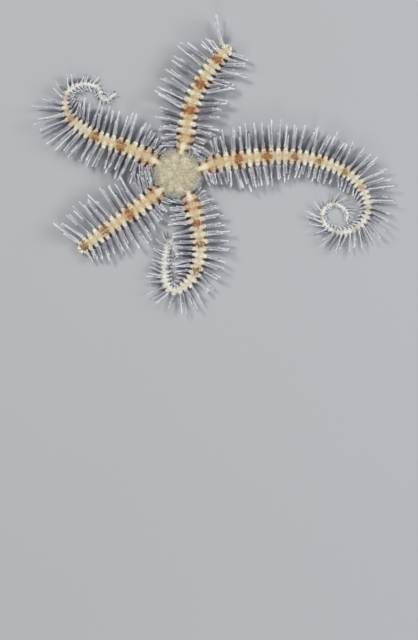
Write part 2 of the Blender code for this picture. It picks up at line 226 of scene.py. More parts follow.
arms = {
    "arm_upper": {
        "lengths": 3,
        "start": (6.15, 78.5),
        "heading": 73.5,
        "arcs": [(5.8, 9.5), (4, -7.5), (10, -19.5), (9, -12.5)],
        "whole": 78,
        "stump": True,
        "lined": 0.35,
        "golden": 1,
        "slim": [(0, 1)],
        "bands": [(9.8, 1, 0), (17, 1, 0.15), (24.3, 1, 0.1)],
        "left": [(0, 4.8, -34, 10), (2.5, 6.2, -26, 8), (4.5, 7.2, -8, 7), (7, 7.8, 3, 7),
                 (10, 9, 8, 7), (13, 9.8, 8, 6), (16, 9.8, 5, 5), (20, 9.3, 0, 4), (23, 9, 0, 4),
                 (24.8, 5.4, 5, 6), (26.8, 5.4, 14, 8), (27.4, 8.4, 30, 6), (28.8, 8.8, 41, 8)],
        "right": [(0, 4.6, -28, 10), (2, 5.4, -10, 8), (4, 6.2, -2, 6), (5, 7.5, 3, 7), (8, 7.8, 5, 8),
                  (10, 7.8, 16, 14), (14, 8, 24, 14), (18, 7.2, 26, 14), (22, 7.6, 26, 12),
                  (25, 7, 26, 10), (27, 4.8, 15, 10), (28.8, 6.2, 46, 7)],
    },
    "arm_right": {
        "lengths": 10,
        "start": (6.6, 13),
        "heading": 22,
        "arcs": [(4.8, -12), (9.2, -4), (2, -0.5), (8.7, -14), (11, -18), (9.9, -48.5), (5.6, -52),
                 (6.9, -60), (5, -61), (3.2, -60.5), (3, -60.5), (3.7, -60.5), (2.2, -61)],
        "whole": 75.2,
        "stump": False,
        "lined": 0.35,
        "golden": 1,
        "slim": [(36, 1), (42, 0.88), (48, 0.72), (55, 0.67), (64, 0.72), (75.2, 1)],
        "bands": [(9.2, 1, 0.1), (16.3, 0.95, 0.25), (23.2, 0.75, 0.75), (29.5, 0.85, 0.85),
                  (36.3, 0.75, 0.7), (42.2, 0.8, 0.6), (47.7, 0.8, 0.7), (53.7, 0.85, 0.6),
                  (59, 0.85, 0.7), (64, 0.8, 0.3), (68.8, 0.7, 0.2)],
        "left": [(0, 4.6, -40, 10), (2.5, 5.6, -32, 8), (4.2, 6.4, -10, 7), (6, 7.6, 0, 6),
                 (10, 8.4, 0, 5), (18, 8.4, 2, 4), (27, 8.2, 4, 6), (33, 7.2, 6, 7), (37, 7.4, 4, 6),
                 (42, 7, 10, 8), (47, 6.8, 16, 9), (50, 6, 20, 9), (54, 5.4, 24, 9), (58, 4.6, 28, 10),
                 (61, 4.2, 30, 10), (65, 3.2, 32, 12), (70, 2.7, 25, 12), (72.5, 2.2, 25, 12),
                 (75.2, 0.9, 40, 12)],
        "right": [(0, 4.6, -12, 6), (2, 5.2, -5, 5), (4, 5.9, 0, 5), (7, 6.8, 3, 5), (8.4, 7.9, 9, 8),
                  (16, 7.8, 5, 8), (18, 6.4, 3, 7), (21, 6.2, 3, 6), (24, 5.2, -8, 8), (27, 5, 5, 9),
                  (31, 5, 8, 9), (35, 4.6, 14, 10), (38, 4, 28, 9), (42, 3.4, 34, 8), (44, 2.4, 35, 8),
                  (50, 1.9, 35, 9), (55, 1.6, 35, 9), (60, 1.3, 35, 9), (66, 1, 30, 9),
                  (75.2, 0.6, 40, 9)],
    },
    "arm_upper_left": {
        "lengths": 7,
        "start": (5.6, 150.5),
        "heading": 150.5,
        "arcs": [(13, 12.5), (10.3, -25), (6.5, -54), (2.9, -47.5), (6.3, -61), (2.6, -65.5), (1.5, 63),
                 (1.3, 65), (2.6, -6.5)],
        "whole": 47,
        "stump": False,
        "lined": 1,
        "golden": 1,
        "slim": [(23, 1), (26.5, 0.78), (30, 0.62), (36, 0.62), (40, 0.75), (47, 0.95)],
        "bands": [(10.1, 1, 0.55), (17, 1, 0.55), (24.3, 1, 0.6), (26.6, 0.6, 0.8), (30.2, 1, 0.5)],
        "left": [(0, 5.2, -42, 10), (2.5, 6.2, -35, 9), (4.5, 7.2, -14, 8), (6.5, 7.9, 0, 6),
                 (9, 8.2, 2, 6), (12, 7, 3, 6), (15, 8, 3, 5), (18, 8.2, 3, 5), (21, 7.8, 5, 5),
                 (24, 9.6, 6, 6), (26, 9, 10, 5), (27.6, 7.8, 15, 6), (29, 4.4, 20, 8),
                 (31, 3.6, 22, 10), (35, 2.8, 28, 12), (38, 2.4, 28, 12), (41, 1.7, 28, 12),
                 (47, 1, 40, 12)],
        "right": [(0, 4.6, -26, 10), (2.5, 5.6, -12, 8), (4.5, 6.4, -6, 7), (6, 7.9, 0, 6),
                  (13, 8, 3, 6), (16, 7.6, 18, 8), (20, 7.4, 24, 9), (23, 6, 32, 9), (26, 3.6, 38, 9),
                  (29, 2.5, 38, 9), (32, 2, 35, 10), (40, 1.4, 35, 10), (47, 0.9, 40, 10)],
    },
    "arm_lower_left": {
        "lengths": 2,
        "start": (5.2, -134),
        "heading": -140,
        "arcs": [(8.2, -5.5), (4, 0.7), (13.5, 2.3)],
        "whole": 75,
        "stump": True,
        "lined": 1,
        "golden": 1,
        "slim": [(0, 1)],
        "bands": [(10.6, 1, 0.1), (17.8, 0.75, 0.8), (24.3, 1, 1)],
        "left": [(0, 3.8, -35, 10), (2.5, 4.6, -16, 8), (4.5, 6, -3, 7), (7, 7.4, 3, 6),
                 (10, 8.2, 3, 5), (13, 8.2, 3, 5), (15, 7.2, 8, 6), (17, 8, 15, 6), (19, 6.4, 18, 7),
                 (21, 6, 22, 7), (23, 4.6, 18, 8), (25.7, 4, 14, 10)],
        "right": [(0, 5, -42, 9), (2.5, 6, -38, 8), (4.5, 7, -28, 8), (6.5, 8, -4, 7), (10, 8.8, 0, 5),
                  (14, 9.3, 2, 5), (17, 9.3, 5, 5), (20, 8.8, 10, 5), (23, 8.6, 16, 6),
                  (25.7, 8, 26, 8)],
    },
    "arm_lower": {
        "lengths": 6,
        "start": (5.7, -61.5),
        "heading": -70,
        "arcs": [(10.4, -10), (9, -29.5), (6.8, -41.5), (1.9, -56.5), (1.6, -35), (2.9, -29),
                 (7.6, -7.5), (0.95, -74), (0.95, -74), (3.9, -10.5)],
        "whole": 46,
        "stump": False,
        "lined": 0.3,
        "golden": 0.25,
        "slim": [(22, 1), (26, 0.84), (29, 0.76), (33, 0.84), (37, 0.95), (41, 1.05)],
        "bands": [(4, 0.12, 0.4), (7.8, 0.7, 0.2), (13, 0.6, 0.85), (19.8, 0.75, 0.85),
                  (40.5, 0.85, 0.6)],
        "left": [(0, 3.9, -30, 10), (2.5, 4.6, -18, 8), (4.2, 6.2, 0, 7), (6.8, 7.4, 5, 7),
                 (9, 6.8, 5, 8), (12, 7.8, 5, 7), (15, 7.2, 8, 8), (19, 6.6, 15, 8), (23, 5.4, 18, 10),
                 (25, 6.2, 12, 10), (28, 5.6, 10, 10), (31, 4.2, 12, 10), (35, 3.8, 15, 10),
                 (40, 3.1, 18, 10), (41.5, 2.6, 20, 10), (46, 1, 30, 10)],
        "right": [(0, 5, -35, 10), (2.5, 5.8, -22, 8), (4.5, 6.5, -8, 7), (9, 7.4, 2, 6),
                  (12, 6.8, 2, 6), (15, 6.6, 10, 8), (17.5, 6.7, 22, 8), (20, 5.2, 28, 8),
                  (22, 3.6, 30, 9), (24, 2.8, 30, 9), (27, 2, 20, 11), (35, 1.8, 15, 11),
                  (41, 1.5, 15, 11), (46, 0.9, 30, 11)],
    },
}

body = {
    "innerRadius": 1.9,  # where the arms meet the jaws, under the disc
    "rootHalfWidth": 2.45,
    "tipHalfWidth": 0.32,
    "taperPower": 1.25,
    "heightBase": 0.35,
    "heightPerWidth": 0.95,
    "pitchBase": 0.4,
    "pitchPerWidth": 0.65,
    "innerRoom": 0.8,  # most of a bend's radius that the arm fills
    "stumpRounding": 1.4,
    "tipRounding": 0.5,
    "leastEnd": 0.12,  # share of the width left where the end is closed
    "endStretch": 2.0,  # what counts as an arm's end for its bands and its spines
    "step": 0.1,  # between the points of a route
    "stepsUnder": 40,  # of the part under the disc
}


def clamp(value):
    return np.clip(value, 0.0, 1.0)


def ramp(value, start, length):  # from 0 to 1 over a length
    return clamp((value - start) / length)


def bell(away, width):  # 1 in the middle, and fading to both sides
    return np.exp(-((away / width) ** 2))


def blend(low, high, share):
    return low + (high - low) * share


def swing(draw):  # a draw to either side
    return draw.uniform(-1.0, 1.0)


def hermite(t, start, startWay, end, endWay):  # a point of the curve between two ends
    a = 2 * t**3 - 3 * t**2 + 1
    b = t**3 - 2 * t**2 + t
    c = -2 * t**3 + 3 * t**2
    d = t**3 - t**2
    return a * start + b * startWay + c * end + d * endWay


def compass(angle):
    return np.array([math.cos(angle), math.sin(angle)])


def traceRoute(arm):  # runs, points and headings, from the jaws to the tip, with run 0 at its start
    radius, bearing = arm["start"]
    bearing = math.radians(bearing)
    heading = math.radians(arm["heading"])
    start = compass(bearing) * radius
    inner = compass(bearing) * body["innerRadius"]
    reach = radius - body["innerRadius"]
    ways = (compass(bearing) * reach, compass(heading) * reach)
    under = [hermite(t, inner, ways[0], start, ways[1])
             for t in np.linspace(0.0, 1.0, body["stepsUnder"])]
    points = under[:-1]
    place = start.copy()
    points.append(place.copy())
    for run, turn in arm["arcs"]:
        steps = round(run / body["step"])
        halfTurn = math.radians(turn) / steps / 2
        for _ in range(steps):
            heading += halfTurn
            place = place + compass(heading) * run / steps
            heading += halfTurn
            points.append(place)
    points = np.array(points)
    hops = np.diff(points, axis=0)
    runs = np.concatenate([[0.0], np.cumsum(np.hypot(hops[:, 0], hops[:, 1]))])
    runs -= runs[len(under) - 1]
    headings = np.unwrap(np.arctan2(np.gradient(points[:, 1], runs), np.gradient(points[:, 0], runs)))
    return dict(arm, runs=runs, points=points, headings=headings, end=runs[-1])


def bendAt(route, run, window):  # how much the heading turns for each millimetre
    before = np.maximum(0.0, run - window)
    after = np.minimum(route["end"], np.maximum(run, 0.0) + window)
    turned = np.interp(after, route["runs"], route["headings"])
    turned = turned - np.interp(before, route["runs"], route["headings"])
    return turned / (after - before)


def placeAt(route, run):
    x = np.interp(run, route["runs"], route["points"][:, 0])
    y = np.interp(run, route["runs"], route["points"][:, 1])
    return x, y, np.interp(run, route["runs"], route["headings"])


def taperedWidth(route, run):  # half the arm's width, before its end is rounded off
    taper = 1.0 - clamp(run / route["whole"]) ** body["taperPower"]
    return blend(body["tipHalfWidth"], body["rootHalfWidth"], taper)


def halfWidth(route, run):
    rounding = body["stumpRounding"] if route["stump"] else body["tipRounding"]
    left = clamp((route["end"] - run) / rounding)
    return taperedWidth(route, run) * np.maximum(body["leastEnd"], np.sqrt(1.0 - (1.0 - left) ** 2))


def armHeight(width):
    return body["heightBase"] + body["heightPerWidth"] * width


def lobeReach(route, run):  # from an arm's middle line to the tips of its lobes
    width = halfWidth(route, run)
    share, whole = link["rootReach"]
    share = blend(share, 1.0, clamp(run / whole))
    share = share * np.interp(run, *zip(*route["slim"]))
    return share * (width * link["reach"] + link["reachAdded"] * np.minimum(1.0, width / 0.3))


def linkMarks(route):  # where one link of the arm ends and the next begins
    marks = [route["runs"][0]]
    while marks[-1] < route["end"]:
        width = taperedWidth(route, marks[-1])
        marks.append(marks[-1] + body["pitchBase"] + body["pitchPerWidth"] * width)
    marks = np.array(marks)
    inner = marks[0]
    return inner + (marks - inner) * (route["end"] - inner) / (marks[-1] - inner)


routes = {name: traceRoute(arm) for name, arm in arms.items()}
for route in routes.values():
    route["marks"] = linkMarks(route)
print("routes are traced, with", [len(route["marks"]) - 1 for route in routes.values()], "links")


# Shapes that repeat are modelled once, read as points and faces, and set many times

patchSize = 0.003  # of each spine's or granule's part of the map OFBake


def choose(kind, test):  # in edit mode, select the corners or faces that pass a test
    bpy.ops.mesh.select_all(action="DESELECT")
    bpy.ops.mesh.select_mode(type=kind)
    form = bmesh.from_edit_mesh(bpy.context.edit_object.data)
    form.verts.ensure_lookup_table()
    for item in form.verts if kind == "VERT" else form.faces:
        item.select_set(bool(test(item)))
    form.select_flush_mode()
    bmesh.update_edit_mesh(bpy.context.edit_object.data)


def bisectAt(cuts):  # rings of new edges across the X axis
    for cut in cuts:
        bpy.ops.mesh.select_all(action="SELECT")
        bpy.ops.mesh.bisect(plane_co=(cut, 0.0, 0.0), plane_no=(1.0, 0.0, 0.0))


def squeeze(test, sizes, centre=(0.0, 0.0, 0.0)):  # scale the corners whose place passes a test
    choose("VERT", lambda corner: test(corner.co))
    bpy.ops.transform.resize(value=sizes, center_override=centre)


def nudge(test, way):  # move the corners whose place passes a test
    choose("VERT", lambda corner: test(corner.co))
    bpy.ops.transform.translate(value=way)


def openForm():  # take the new primitive's place into its mesh, and go to edit mode
    bpy.ops.object.transform_apply(location=True, rotation=True, scale=True)
    bpy.ops.object.mode_set(mode="EDIT")


def startRod(sides, ends="NGON"):  # a rod along X, 1 long
    deselect()
    bpy.ops.mesh.primitive_cylinder_add(vertices=sides, radius=1.0, depth=1.0, end_fill_type=ends,
                                        location=(0.5, 0.0, 0.0), rotation=(0.0, quarter, 0.0))
    openForm()


def readForm(levels=0):  # points, faces and patch of the model in hand, which then goes
    item = bpy.context.object
    bpy.ops.object.mode_set(mode="OBJECT")
    if levels:
        bpy.ops.object.modifier_add(type="SUBSURF")
        item.modifiers[0].levels = levels
        item.modifiers[0].render_levels = levels
        bpy.ops.object.modifier_apply(modifier=item.modifiers[0].name)
    mesh = item.data
    points = np.array([corner.co[:] for corner in mesh.vertices])
    faces = [tuple(face.vertices) for face in mesh.polygons]
    bpy.data.objects.remove(item)
    return {"points": points, "faces": faces, "patch": patchOf(points, faces)}


def makeRod(sides, cuts, widths):  # along X, 1 long, with its width at some of the cuts and ends
    startRod(sides)
    bisectAt(cuts)
    for cut, share in widths.items():
        squeeze(lambda at: abs(at.x - cut) < 0.01, (1.0, share, share), (cut, 0.0, 0.0))
    return readForm()


def patchOf(points, faces):  # each corner's place on a small patch: along X, and round it
    middle = points[:, 1:].mean(axis=0)
    patch = []
    for face in faces:
        corners = points[list(face)]
        angles = np.arctan2(corners[:, 2] - middle[1], corners[:, 1] - middle[0])
        away = np.remainder(angles - angles[0] + math.pi, math.tau) - math.pi
        share = (angles[0] + away) / math.tau + 0.5
        patch.extend(zip(corners[:, 0], clamp(share)))
    return np.array(patch)


def addPiece(name, points, faces, material):
    mesh = bpy.data.meshes.new(name)
    mesh.from_pydata((np.asarray(points) * mm).tolist(), [], faces)
    mesh.materials.append(material)
    item = bpy.data.objects.new(name, mesh)
    bpy.context.scene.collection.objects.link(item)
    deselect()
    item.select_set(True)
    bpy.context.view_layer.objects.active = item
    bpy.ops.object.shade_smooth()
    return item


def addMarks(item, **marks):  # each is one number for all corners, or one for each
    for name, values in marks.items():
        layer = item.data.attributes.new(name, "FLOAT", "POINT")
        spread = np.broadcast_to(np.asarray(values, dtype=np.float32), len(item.data.vertices))
        layer.data.foreach_set("value", np.ascontiguousarray(spread))


def addPatches(item, form, spots):  # a small patch for each copy, at its root's place on the map
    patches = np.tile(form["patch"], (len(spots), 1)) * patchSize
    patches = np.repeat(spots, len(form["patch"]), axis=0) + patches
    layer = item.data.uv_layers.new(name="OFBake")
    layer.uv.foreach_set("vector", np.ascontiguousarray(patches, dtype=np.float32).ravel())


def copyFaces(form, count):
    each = len(form["points"])
    return [tuple(corner + i * each for corner in face) for i in range(count) for face in form["faces"]]


def setCopies(form, places):  # one copy for each place: root, way, spin, length, thickness
    points = []
    for root, way, spin, length, thickness in places:
        turn = Vector(way).to_track_quat("X", "Z").to_matrix() @ Matrix.Rotation(spin, 3, "X")
        sized = form["points"] * np.array([length, thickness, thickness])
        points.append(sized @ np.array(turn).T + np.array(root))
    return np.concatenate(points), copyFaces(form, len(places))


# Arms: links with rounded lobes at their sides and low plates above and below

link = {
    "sides": 20,
    "cuts": (0.13, 0.17, 0.24, 0.36, 0.5, 0.65, 0.77, 0.84, 0.88),
    "narrowing": {0.0: 0.58, 0.13: 0.6, 0.17: 0.7, 0.24: 0.8, 0.36: 0.94, 0.65: 0.97, 0.77: 0.84,
                  0.84: 0.71, 0.88: 0.6, 1.0: 0.58},
    "softNarrowing": 0.6,  # share of the narrowing that reaches the plates' edges
    "gapDrop": 0.84,  # height of the sides where two links meet
    "groove": 0.93,  # height of the groove between the plates and a lobe
    "lobeRise": 1.06,
    "sole": 0.13,  # below this height the underside is flat
    "seam": 0.1,  # depth of the seam between two plates under an arm
    "plateInset": 0.07,
    "plateRise": 0.035,
    "saddle": 0.94,  # height of the plates where two links meet
    "reach": 1.13,  # lobes stand out past the arm's half width by this share
    "reachAdded": 0.09,
    "rootReach": (0.62, 3.2),  # share of it at the disc, and the run at which it is whole
    "uneven": 0.1,  # each lobe's reach and place vary
    "lobeLean": 0.6,  # of a thin end's lobes towards the tip
    "thinGap": 0.65,  # how far its gaps are filled, so that it looks beaded
    "rootGap": (0.45, 2.4),  # and those next to the disc, up to this run
    "thinFrom": (0.45, 0.3),  # where the thin end starts and over which length, of a whole arm
    "bandWidth": 0.62,  # in links
    "haloWidth": 1.4,
    "weld": 0.004,  # corners closer than this are joined
    "seed": 11,
}


def makeLink():  # one link, 1 long, 1 to each side and 1 high, open at both ends
    def toEnd(at):
        return min(at.x, 1.0 - at.x)

    def isLobe(at):
        return abs(at.y) > 0.7

    def isGroove(at):
        return 0.55 < abs(at.y) < 0.65 and at.z > 0.5

    startRod(link["sides"], "NOTHING")
    bisectAt(link["cuts"])
    squeeze(lambda at: True, (1.0, 1.0, 0.5))
    bpy.ops.transform.translate(value=(0.0, 0.0, 0.5))
    squeeze(isGroove, (1.0, 1.0, link["groove"]))
    squeeze(lambda at: isLobe(at) and at.z > 0.5 and toEnd(at) > 0.2, (1.0, 1.0, link["lobeRise"]))
    squeeze(lambda at: isLobe(at) and toEnd(at) < 0.16, (1.0, 1.0, link["gapDrop"]))
    squeeze(lambda at: at.z < link["sole"], (1.0, 1.0, 0.0))
    nudge(lambda at: at.z < 0.01 and toEnd(at) < 0.01, (0.0, 0.0, link["seam"]))
    for ring, share in link["narrowing"].items():
        soft = 1.0 - (1.0 - share) * link["softNarrowing"]
        for isPart, width in ((isLobe, share), (isGroove, soft)):
            squeeze(lambda at: abs(at.x - ring) < 0.01 and isPart(at),
                    (1.0, width, 1.0), (0.0, 0.0, 0.5))
    squeeze(lambda at: at.z > 0.85 and toEnd(at) < 0.01, (1.0, 1.0, link["saddle"]))
    for sign in (1.0, -1.0):  # plates above and below
        choose("FACE", lambda face: face.normal.z * sign > 0.8
               and abs(face.calc_center_median().y) < 0.5)
        bpy.ops.mesh.inset(thickness=link["plateInset"], use_boundary=False)
        bpy.ops.transform.translate(value=(0.0, 0.0, sign * link["plateRise"]))
    form = readForm(1)
    points = form["points"]
    low = points[:, 2].min()
    high = points[:, 2].max()
    points[:, 2] = (points[:, 2] - low) / (high - low)
    points[:, 1] /= np.abs(points[:, 1]).max()
    return form


def bandMarks(route, runs):  # band, how brown it is, and its halo
    bands = np.array(route["bands"])
    width = halfWidth(route, np.minimum(runs, route["end"] - body["endStretch"]))
    pitch = body["pitchBase"] + body["pitchPerWidth"] * width
    apart = (np.asarray(runs)[:, None] - bands[:, 0]) / pitch[:, None]
    shares = bell(apart, link["bandWidth"]) * bands[:, 1]
    halo = (bell(apart, link["haloWidth"]) * bands[:, 1]).max(axis=1) * route["golden"]
    return shares.max(axis=1), bands[shares.argmax(axis=1), 2], halo


def makeArm(name, form, material, draw):
    route = routes[name]
    marks = route["marks"]
    count = len(marks) - 1
    unit = form["points"]
    pitch = np.repeat(np.diff(marks), len(unit))
    along = np.repeat(marks[:-1], len(unit)) + np.tile(unit[:, 0], count) * pitch
    across = np.tile(unit[:, 1], count)
    up = np.tile(unit[:, 2], count)
    notch = np.tile(np.abs(unit[:, 0] - 0.5) * 2.0, count)
    inLobe = np.maximum(0.0, np.abs(across) - 0.5) / 0.5 * clamp((1.0 - notch) / 0.3)
    leftward = across > 0.0
    uneven = np.repeat(draw.uniform(-1.0, 1.0, (count, 4)), len(unit), axis=0) * link["uneven"]
    grown = 1.0 + inLobe * np.where(leftward, uneven[:, 0], uneven[:, 1])
    thin = ramp(along / route["whole"], *link["thinFrom"])
    moved = np.where(leftward, uneven[:, 2], uneven[:, 3]) + thin * link["lobeLean"] * 0.5
    along = np.minimum(along + inLobe * pitch * moved, route["end"])
    width = halfWidth(route, along)
    x, y, heading = placeAt(route, along)
    bend = bendAt(route, along, 0.3)
    rootGap, near = link["rootGap"]
    filled = np.maximum(link["thinGap"] * thin, rootGap * clamp(2.0 - 2.0 * along / near))
    beaded = 1.0 + filled * ramp(notch, 0.5, 0.25) * (np.abs(across) > 0.5)
    side = across * grown * beaded * lobeReach(route, along)
    room = body["innerRoom"] / np.maximum(np.abs(bend), 1e-6)
    side = np.where(bend * side > 0.0, np.sign(side) * np.minimum(np.abs(side), room), side)
    points = np.column_stack([x - np.sin(heading) * side, y + np.cos(heading) * side,
                              up * armHeight(width)])
    item = addPiece(name + "_skin", points, copyFaces(form, count), material)
    band, brown, halo = bandMarks(route, along)
    addMarks(item, run=along, across=across, up=up, notch=notch, band=band, brown=brown, halo=halo,
             share=along / route["whole"], lined=route["lined"], golden=route["golden"])
    bpy.ops.object.mode_set(mode="EDIT")
    bpy.ops.mesh.select_all(action="SELECT")
    bpy.ops.mesh.remove_doubles(threshold=link["weld"] * mm)
    bpy.ops.mesh.select_all(action="DESELECT")
    bpy.ops.mesh.select_mode(type="EDGE")
    bpy.ops.mesh.select_non_manifold(extend=False)
    bpy.ops.mesh.fill()
    bpy.ops.mesh.select_all(action="SELECT")
    bpy.ops.mesh.normals_make_consistent(inside=False)
    bpy.ops.object.mode_set(mode="OBJECT")
    item.data.update()
    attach(item, "root")
    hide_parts(*[f"{name}_{i + 1}" for i in range(route["lengths"])])


def armFinish():
    finish = Finish("armSkin")
    across, up, run, notch, band, brown, halo, share, lined, golden = finish.marks(
        "across", "up", "run", "notch", "band", "brown", "halo", "share", "lined", "golden")
    where = finish.place()
    off = abs(across)
    top = finish.step(up, 0.5, 0.7)
    grain = finish.noise(where, 2600.0, 3.0)
    cloud = finish.noise(where, 600.0, 3.0)
    warm = finish.noise(where, 330.0)
    blotch = finish.noise(where, 1300.0)
    spots = finish.noise(where, 2300.0, 2.0, 0.7)
    spread = finish.add("ShaderNodeCombineXYZ", sockets={0: run * 0.9, 1: across * 9.0})
    streaks = finish.noise(spread, 1.0)
    early = finish.fall(share, 0.4, 0.8)
    young = 1.0 - finish.step(share, 0.2, 0.5) * 0.6
    finish.prime((0.45, 0.33, 0.17), (0.68, 0.57, 0.36), cloud)  # flesh
    finish.paint((0.56, 0.545, 0.45), finish.step(share, 0.08, 0.34) * 0.85)
    finish.paint((0.80, 0.79, 0.70), (1.0 - golden) * finish.step(run, 4.0, 9.0) * (0.2 + 0.6 * blotch))
    finish.paint((0.58, 0.38, 0.26), finish.step(warm, 0.48, 0.62) * early * 0.45)

    # plates: valleys between links, pale ridges, golden specks and dark flaws
    valley = finish.step(notch + (streaks - 0.5) * 0.5, 0.5, 0.9) * finish.fall(off, 0.35, 0.7)
    finish.paint((0.44, 0.31, 0.13), valley * top * young * 0.45)
    finish.paint((0.62, 0.45, 0.16), halo * (0.3 + 0.6 * streaks) * top * 0.85)
    ridge = finish.fall(notch + (blotch - 0.5) * 0.9, 0.45, 0.8)
    inward = finish.step(off + (streaks - 0.5) * 0.5, 0.0, 0.36)
    finish.paint((0.84, 0.80, 0.64), ridge * inward * finish.step(blotch, 0.3, 0.6))
    gold = finish.step(spots + (blotch - 0.5) * 0.4, 0.5, 0.64) * finish.fall(off, 0.3, 0.6)
    finish.paint((0.47, 0.30, 0.09), gold * top * young * 0.65)
    finish.paint((0.40, 0.32, 0.18), finish.step(grain, 0.5, 0.66) * top * 0.45)

    # lobes, which the bands turn tan
    lobes = finish.step(off + (blotch - 0.5) * 0.3, 0.42, 0.72)
    knob = finish.mix((0.50, 0.45, 0.35), (0.83, 0.81, 0.74), finish.step(blotch, 0.38, 0.56))
    finish.paint(knob, lobes * (0.2 + 0.75 * finish.step(run, 1.5, 4.5)))
    tan = band * early * finish.step(off, 0.3, 0.5) * (1.0 - finish.step(off, 0.75, 1.0) * 0.6)
    finish.paint((0.60, 0.35, 0.24), tan * (1.0 - 0.85 * brown * brown) * 0.65)

    # bands, with ragged edges
    ragged = (blotch - 0.5) * 1.5 + (streaks - 0.5) * 0.9 + (cloud - 0.5) * 0.6
    spot = finish.step(band * finish.fall(off, 0.1, 0.8) + ragged * 1.1, 0.1, 0.62)
    spot = spot * finish.step(band, 0.0, 0.2) * top * (0.35 + 0.65 * early)
    dark = finish.step(blotch + (spots - 0.5) * 0.6 - off * 0.3, 0.25, 0.46)
    rust = finish.mix((0.48, 0.18, 0.04), (0.25, 0.075, 0.014), dark)
    umber = finish.mix((0.38, 0.24, 0.07), (0.18, 0.105, 0.03), dark)
    finish.paint(finish.mix(rust, umber, brown), spot * 0.97)

    # the double line, and the brown ray between the two
    lines = finish.line(across, 0.07, 0.06) + finish.line(across, -0.07, 0.06)
    broken = (0.25 + 0.75 * finish.step(blotch, 0.42, 0.56)) * early * lined
    finish.paint((0.82, 0.68, 0.36), lines * broken * top * 0.5)
    ray = finish.line(across, 0.0, 0.04) * top * (0.1 + 0.5 * early * finish.step(cloud, 0.4, 0.58))
    finish.paint((0.45, 0.28, 0.09), ray * (1.0 - 0.85 * band) * (0.3 + 0.7 * lined))

    # the root, with a pale strip, orange sides and rusty flecks
    strip = finish.fall(run + blotch * 1.6, 1.5, 3.5) * top
    strip = strip * finish.fall(off + blotch * 0.24, 0.3, 0.48)
    beside = finish.fall(run, 1.7, 2.8) * finish.step(off, 0.3, 0.5) * top
    finish.paint((0.46, 0.27, 0.14), beside * (0.3 + 0.5 * streaks))
    finish.paint((0.84, 0.79, 0.62), strip * (0.45 + 0.55 * streaks))
    flecks = finish.line(run, 3.0, 2.6) * finish.line(off, 0.5, 0.55)
    flecks = flecks * top * finish.step(blotch + (spots - 0.5) * 0.5, 0.38, 0.54)
    finish.paint((0.42, 0.19, 0.055), flecks * 0.85)

    # thin ends, which are whiter, with faint bands
    ageing = finish.step(share, 0.45, 0.8)
    pale = finish.mix((0.48, 0.49, 0.46), (0.78, 0.80, 0.77), finish.step(blotch, 0.32, 0.54))
    finish.paint(pale, ageing * 0.85)
    late = band * ageing * finish.step(blotch + (spots - 0.5) * 0.5, 0.3, 0.5)
    finish.paint(finish.mix((0.36, 0.20, 0.08), (0.26, 0.22, 0.15), brown), late * 0.75)

    # painted shade in the gaps between the lobes, and the underside
    gap = finish.step(notch, 0.58, 0.78) * finish.step(off, 0.38, 0.52)
    gap = gap * (0.25 + 0.75 * finish.step(run, 1.0, 3.2))
    # painted shade: near black between the lobes, fainter on thin ends
    finish.paint((0.13, 0.09, 0.055), gap * (0.8 - 0.6 * ageing))
    belly = finish.fall(up, 0.1, 0.35)
    finish.paint((0.74, 0.67, 0.52), belly * 0.7)
    seams = finish.step(notch, 0.8, 0.94) + finish.line(off, 0.46, 0.07) * 0.8
    finish.paint((0.38, 0.30, 0.19), belly * seams * (0.3 + 0.5 * cloud))
    return finish.close({"Roughness": 0.42 + grain * 0.25, "Coat Weight": 0.12, "Coat Roughness": 0.3,
                         "Normal": finish.bump(grain * 0.5 + blotch * 0.5, 0.00014, 0.8)})


crown = {  # the healed end of a lost arm: blunt knobs that point outwards round it
    "bearings": (-94.0, -67.0, -41.0, -14.0, 13.0, 40.0, 66.0, 92.0),
    "back": 1.15,  # behind the very end
    "outward": 0.55,
    "length": (0.9, 1.2),
    "thickness": (0.3, 0.38),
    "height": 0.6,  # of the arm's height
    "scatter": 6.0,  # of the bearings
    "rise": (-0.1, 0.25),
    "sides": 8,
    "cuts": (0.4, 0.7, 0.88),  # along a knob
    "widths": {0.0: 0.9, 0.4: 0.85, 0.88: 0.85, 1.0: 0.45},
    "seed": 3,
}


def makeCrown(name, form, material):
    route = routes[name]
    draw = random.Random(crown["seed"])
    run = route["end"] - crown["back"]
    x, y, heading = placeAt(route, run)
    middle = crown["height"] * armHeight(halfWidth(route, run))
    places = []
    for bearing in crown["bearings"]:
        flat = heading + math.radians(bearing + draw.uniform(-crown["scatter"], crown["scatter"]))
        way = np.array([*compass(flat), draw.uniform(*crown["rise"])])
        root = np.array([x, y, middle]) + way * crown["outward"]
        places.append((root, way, draw.uniform(0.0, math.tau), draw.uniform(*crown["length"]),
                       draw.uniform(*crown["thickness"])))
    points, faces = setCopies(form, places)
    item = addPiece(name + "_crown", points, faces, material)
    addMarks(item, run=run, across=0.85, up=0.6, notch=0.0, band=0.0, brown=0.0, halo=0.0,
             share=run / route["whole"], lined=0.0, golden=1.0)
    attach(item, "root")


armSkin = armFinish()
linkForm = makeLink()
knobForm = makeRod(crown["sides"], crown["cuts"], crown["widths"])
unevenness = np.random.default_rng(link["seed"])
for name in arms:
    makeArm(name, linkForm, armSkin, unevenness)
    if arms[name]["stump"]:
        makeCrown(name, knobForm, armSkin)
print("arms are made of links of", len(linkForm["faces"]), "faces")


# Disc: a low dome that draws in over the arms, with a pit under it for the mouth

